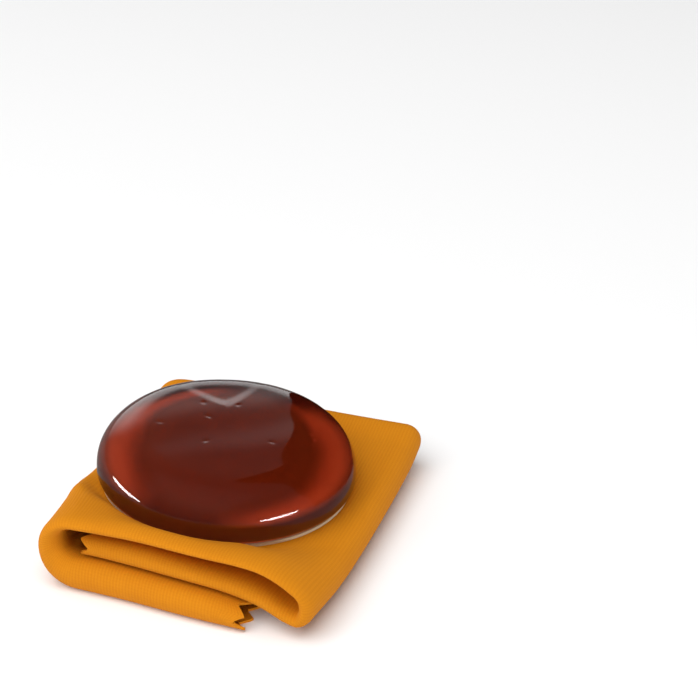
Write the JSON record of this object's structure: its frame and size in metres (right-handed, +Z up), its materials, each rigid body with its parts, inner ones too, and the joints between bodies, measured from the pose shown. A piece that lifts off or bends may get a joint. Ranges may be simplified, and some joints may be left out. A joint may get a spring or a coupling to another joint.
{
  "type": "rosin cake",
  "caption": "Round cast rosin cake on a thin card, lying on its folded microfibre cloth; the cake lifts off and the cloth's lowest flap opens.",
  "frame": {"origin": "middle of the folded cloth's outline, on the table", "axes": "+X along the front fold to the closed right fold, +Y away from the front fold, +Z up"},
  "size_m": [0.058, 0.066, 0.0237],
  "materials": {
    "cast_rosin": "cast, clear red-brown, poured gloss",
    "card": "uncoated pale card",
    "microfibre": "ribbed warp-knit microfibre, orange, pinked edges"
  },
  "bodies": {
    "pad": {"cloth_top_panel": "microfibre", "cloth_right_fold": "microfibre", "cloth_middle_flap": "microfibre", "cloth_left_fold_upper": "microfibre"},
    "cake": {"rosin_cake": "cast_rosin", "backing_card": "card"},
    "flap": {"cloth_left_fold_lower": "microfibre", "cloth_bottom_flap": "microfibre"}
  },
  "joints": [
    {"name": "cake_lift", "type": "slide", "parent": "pad", "child": "cake", "axis": [0, 0, 1], "range_m": [0, 0.06]},
    {"name": "flap_fold", "type": "hinge", "parent": "pad", "child": "flap", "pos_m": [-0.029, 0, 0.00625], "axis": [0, 1, 0], "range_deg": [0, 170]}
  ]
}
